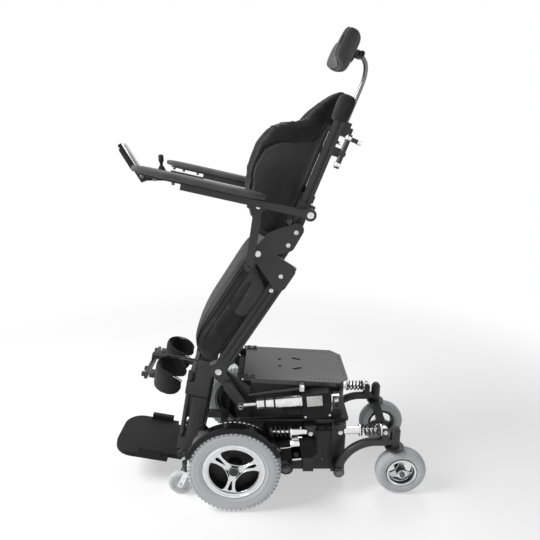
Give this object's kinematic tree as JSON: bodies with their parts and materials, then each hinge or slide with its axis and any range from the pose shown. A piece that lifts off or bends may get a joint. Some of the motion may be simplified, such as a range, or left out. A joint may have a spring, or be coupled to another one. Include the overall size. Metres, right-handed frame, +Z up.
{
  "type": "standing wheelchair",
  "caption": "Powered standing wheelchair: sprung drive base, raising seat with folding back, knee cups, footplate, armrests, headrest and joystick, shown raised.",
  "frame": {"origin": "floor level, at the centre of the part's box", "axes": "+X to the rear, -Y is the user's left, +Z up"},
  "size_m": [1.2662, 0.57, 1.7182],
  "materials": {
    "frame_black": "satin black powder coat",
    "shell_black": "fine-grained black moulding",
    "battery_case": null,
    "plate_grey": "matte dark grey coat",
    "motor_dark": "black cast housing",
    "fender_black": "glossy black moulding",
    "wheel_alloy": "polished alloy",
    "tyre_grey": "light grey non-marking rubber",
    "bright_metal": "bright turned metal",
    "spring_black": "gloss black wire",
    "actuator_case": "bright tube with a black motor case",
    "upholstery": "black upholstery",
    "pad_black": "skinned polyurethane foam",
    "knee_pad": "black padded cover",
    "control_black": "black housing",
    "stem_grey": "grey steel tube"
  },
  "bodies": {
    "chassis": {"chassis_frame": "frame_black", "base_shell": "shell_black", "batteries": "battery_case", "top_plate": "plate_grey"},
    "seat": {"seat_frame": "frame_black", "seat_cushion": "upholstery"},
    "actuator_rod": {"actuator_rod": "bright_metal"},
    "actuator_body": {"actuator_body": "actuator_case"},
    "back": {"back_frame": "frame_black", "back_cushion": "upholstery", "push_bar": "stem_grey"},
    "armrest_l": {"armrest_l": "frame_black", "arm_pad_l": "pad_black"},
    "armrest_r": {"armrest_r": "frame_black", "arm_pad_r": "pad_black", "control_box": "control_black"},
    "joystick_ring": {"joystick_ring": "control_black"},
    "joystick_lever": {"joystick_lever": "control_black"},
    "headrest_stem": {"headrest_stem": "stem_grey"},
    "headrest_pad": {"headrest_pad": "upholstery"},
    "legs": {"leg_posts": "frame_black"},
    "footplate": {"footplate": "shell_black"},
    "drive_arm_l": {"drive_arm_l": "frame_black", "gear_motor_l": "motor_dark", "fender_l": "fender_black"},
    "drive_wheel_l": {"drive_rim_l": "wheel_alloy", "drive_tyre_l": "tyre_grey"},
    "front_shock_l": {"front_shock_body_l": "bright_metal", "front_spring_l": "spring_black"},
    "front_rod_l": {"front_shock_rod_l": "bright_metal"},
    "rear_arm_l": {"rear_arm_l": "frame_black"},
    "rear_shock_l": {"rear_shock_body_l": "bright_metal", "rear_spring_l": "spring_black"},
    "rear_rod_l": {"rear_shock_rod_l": "bright_metal"},
    "rear_fork_l": {"rear_fork_l": "frame_black"},
    "caster_wheel_l": {"caster_rim_l": "wheel_alloy", "caster_tyre_l": "tyre_grey"},
    "tip_fork_l": {"tip_fork_l": "bright_metal"},
    "tip_wheel_l": {"tip_wheel_l": "tyre_grey"},
    "knee_l": {"knee_arm_l": "frame_black", "knee_cup_l": "knee_pad"},
    "drive_arm_r": {"drive_arm_r": "frame_black", "gear_motor_r": "motor_dark", "fender_r": "fender_black"},
    "drive_wheel_r": {"drive_rim_r": "wheel_alloy", "drive_tyre_r": "tyre_grey"},
    "front_shock_r": {"front_shock_body_r": "bright_metal", "front_spring_r": "spring_black"},
    "front_rod_r": {"front_shock_rod_r": "bright_metal"},
    "rear_arm_r": {"rear_arm_r": "frame_black"},
    "rear_shock_r": {"rear_shock_body_r": "bright_metal", "rear_spring_r": "spring_black"},
    "rear_rod_r": {"rear_shock_rod_r": "bright_metal"},
    "rear_fork_r": {"rear_fork_r": "frame_black"},
    "caster_wheel_r": {"caster_rim_r": "wheel_alloy", "caster_tyre_r": "tyre_grey"},
    "tip_fork_r": {"tip_fork_r": "bright_metal"},
    "tip_wheel_r": {"tip_wheel_r": "tyre_grey"},
    "knee_r": {"knee_arm_r": "frame_black", "knee_cup_r": "knee_pad"}
  },
  "joints": [
    {"name": "stand_lift", "type": "hinge", "parent": "chassis", "child": "seat", "pos_m": [-0.174, 0, 0.525], "axis": [0, -1, 0], "range_deg": [-57, 0]},
    {"name": "back_fold", "type": "hinge", "parent": "seat", "child": "back", "pos_m": [-0.01997, 0, 1.00088], "axis": [0, -1, 0], "range_deg": [0, 69]},
    {"name": "actuator_eye", "type": "hinge", "parent": "seat", "child": "actuator_rod", "pos_m": [-0.09011, -0.178, 0.39825], "axis": [0, -1, 0], "range_deg": [0, 57.5]},
    {"name": "actuator_stroke", "type": "slide", "parent": "actuator_rod", "child": "actuator_body", "axis": [0.9957, 0, 0.0928], "range_m": [0, 0.15]},
    {"name": "drive_lift_l", "type": "hinge", "parent": "chassis", "child": "drive_arm_l", "pos_m": [0.087, -0.129, 0.079], "axis": [0, 1, 0], "range_deg": [0, 5], "stiffness_Nm_per_rad": 2400, "springref_deg": -4.58},
    {"name": "drive_spin_l", "type": "hinge", "parent": "drive_arm_l", "child": "drive_wheel_l", "pos_m": [-0.114, -0.2475, 0.178], "axis": [0, 1, 0], "continuous": true},
    {"name": "front_shock_swing_l", "type": "hinge", "parent": "chassis", "child": "front_shock_l", "pos_m": [0.178, -0.168, 0.278], "axis": [0, 1, 0], "range_deg": [-4, 4]},
    {"name": "front_shock_stroke_l", "type": "slide", "parent": "front_shock_l", "child": "front_rod_l", "axis": [-0.9997, 0, -0.0226], "range_m": [-0.02, 0.001], "deforming": ["front_spring_l"]},
    {"name": "rear_lift_l", "type": "hinge", "parent": "chassis", "child": "rear_arm_l", "pos_m": [0.294, -0.15, 0.101], "axis": [0, -1, 0], "range_deg": [0, 5], "stiffness_Nm_per_rad": 1900, "springref_deg": -4.58},
    {"name": "rear_shock_swing_l", "type": "hinge", "parent": "chassis", "child": "rear_shock_l", "pos_m": [0.293, -0.168, 0.283], "axis": [0, 1, 0], "range_deg": [-7, 1]},
    {"name": "rear_shock_stroke_l", "type": "slide", "parent": "rear_shock_l", "child": "rear_rod_l", "axis": [1, 0, 0], "range_m": [-0.02, 0.001], "deforming": ["rear_spring_l"]},
    {"name": "rear_swivel_l", "type": "hinge", "parent": "rear_arm_l", "child": "rear_fork_l", "pos_m": [0.51, -0.168, 0.24], "axis": [0, 0, 1], "continuous": true},
    {"name": "rear_roll_l", "type": "hinge", "parent": "rear_fork_l", "child": "caster_wheel_l", "pos_m": [0.542, -0.168, 0.1], "axis": [0, 1, 0], "continuous": true},
    {"name": "tip_swivel_l", "type": "hinge", "parent": "chassis", "child": "tip_fork_l", "pos_m": [-0.312, -0.18, 0.128], "axis": [0, 0, 1], "continuous": true},
    {"name": "tip_roll_l", "type": "hinge", "parent": "tip_fork_l", "child": "tip_wheel_l", "pos_m": [-0.334, -0.18, 0.052], "axis": [0, 1, 0], "continuous": true},
    {"name": "armrest_flip_l", "type": "hinge", "parent": "back", "child": "armrest_l", "pos_m": [0.14989, -0.25, 1.13563], "axis": [0, 1, 0], "range_deg": [0, 85]},
    {"name": "knee_swing_l", "type": "hinge", "parent": "legs", "child": "knee_l", "pos_m": [-0.28604, -0.108, 0.48733], "axis": [0.1874, 0, 0.9823], "range_deg": [0, 45]},
    {"name": "drive_lift_r", "type": "hinge", "parent": "chassis", "child": "drive_arm_r", "pos_m": [0.087, 0.129, 0.079], "axis": [0, 1, 0], "range_deg": [0, 5], "stiffness_Nm_per_rad": 2400, "springref_deg": -4.58},
    {"name": "drive_spin_r", "type": "hinge", "parent": "drive_arm_r", "child": "drive_wheel_r", "pos_m": [-0.114, 0.2475, 0.178], "axis": [0, 1, 0], "continuous": true},
    {"name": "front_shock_swing_r", "type": "hinge", "parent": "chassis", "child": "front_shock_r", "pos_m": [0.178, 0.168, 0.278], "axis": [0, 1, 0], "range_deg": [-4, 4]},
    {"name": "front_shock_stroke_r", "type": "slide", "parent": "front_shock_r", "child": "front_rod_r", "axis": [-0.9997, 0, -0.0226], "range_m": [-0.02, 0.001], "deforming": ["front_spring_r"]},
    {"name": "rear_lift_r", "type": "hinge", "parent": "chassis", "child": "rear_arm_r", "pos_m": [0.294, 0.15, 0.101], "axis": [0, -1, 0], "range_deg": [0, 5], "stiffness_Nm_per_rad": 1900, "springref_deg": -4.58},
    {"name": "rear_shock_swing_r", "type": "hinge", "parent": "chassis", "child": "rear_shock_r", "pos_m": [0.293, 0.168, 0.283], "axis": [0, 1, 0], "range_deg": [-7, 1]},
    {"name": "rear_shock_stroke_r", "type": "slide", "parent": "rear_shock_r", "child": "rear_rod_r", "axis": [1, 0, 0], "range_m": [-0.02, 0.001], "deforming": ["rear_spring_r"]},
    {"name": "rear_swivel_r", "type": "hinge", "parent": "rear_arm_r", "child": "rear_fork_r", "pos_m": [0.51, 0.168, 0.24], "axis": [0, 0, 1], "continuous": true},
    {"name": "rear_roll_r", "type": "hinge", "parent": "rear_fork_r", "child": "caster_wheel_r", "pos_m": [0.542, 0.168, 0.1], "axis": [0, 1, 0], "continuous": true},
    {"name": "tip_swivel_r", "type": "hinge", "parent": "chassis", "child": "tip_fork_r", "pos_m": [-0.312, 0.18, 0.128], "axis": [0, 0, 1], "continuous": true},
    {"name": "tip_roll_r", "type": "hinge", "parent": "tip_fork_r", "child": "tip_wheel_r", "pos_m": [-0.334, 0.18, 0.052], "axis": [0, 1, 0], "continuous": true},
    {"name": "armrest_flip_r", "type": "hinge", "parent": "back", "child": "armrest_r", "pos_m": [0.14989, 0.25, 1.13563], "axis": [0, 1, 0], "range_deg": [0, 85]},
    {"name": "knee_swing_r", "type": "hinge", "parent": "legs", "child": "knee_r", "pos_m": [-0.28604, 0.108, 0.48733], "axis": [-0.1874, 0, -0.9823], "range_deg": [0, 45]},
    {"name": "leg_raise", "type": "hinge", "parent": "chassis", "child": "legs", "pos_m": [-0.174, 0, 0.525], "axis": [0, 1, 0], "range_deg": [0, 20]},
    {"name": "foot_flip", "type": "hinge", "parent": "legs", "child": "footplate", "pos_m": [-0.34677, 0, 0.12631], "axis": [0, 1, 0], "range_deg": [0, 65]},
    {"name": "head_height", "type": "slide", "parent": "back", "child": "headrest_stem", "axis": [0.3697, 0, 0.9291], "range_m": [-0.01, 0.06]},
    {"name": "head_tilt", "type": "hinge", "parent": "headrest_stem", "child": "headrest_pad", "pos_m": [0.33115, 0, 1.64791], "axis": [0, 1, 0], "range_deg": [-12, 12]},
    {"name": "stick_pitch", "type": "hinge", "parent": "armrest_r", "child": "joystick_ring", "pos_m": [-0.43249, 0.238, 1.23748], "axis": [0, 1, 0], "range_deg": [-14, 14], "stiffness_Nm_per_rad": 0.4},
    {"name": "stick_roll", "type": "hinge", "parent": "joystick_ring", "child": "joystick_lever", "pos_m": [-0.43249, 0.238, 1.23748], "axis": [1, 0, 0], "range_deg": [-14, 14], "stiffness_Nm_per_rad": 0.4}
  ],
  "couplings": [
    {"joint": "back_fold", "follows": "stand_lift", "ratio": -1.205},
    {"joint": "actuator_eye", "follows": "stand_lift", "ratio": -1},
    {"joint": "actuator_stroke", "follows": "stand_lift", "m_per_rad": -0.1449},
    {"joint": "front_shock_swing_l", "follows": "drive_lift_l", "ratio": 0.45758},
    {"joint": "front_shock_stroke_l", "follows": "drive_lift_l", "m_per_rad": -0.19831},
    {"joint": "rear_shock_swing_l", "follows": "rear_lift_l", "ratio": -1.0312},
    {"joint": "rear_shock_stroke_l", "follows": "rear_lift_l", "m_per_rad": -0.18188},
    {"joint": "front_shock_swing_r", "follows": "drive_lift_r", "ratio": 0.45758},
    {"joint": "front_shock_stroke_r", "follows": "drive_lift_r", "m_per_rad": -0.19831},
    {"joint": "rear_shock_swing_r", "follows": "rear_lift_r", "ratio": -1.0312},
    {"joint": "rear_shock_stroke_r", "follows": "rear_lift_r", "m_per_rad": -0.18188}
  ]
}
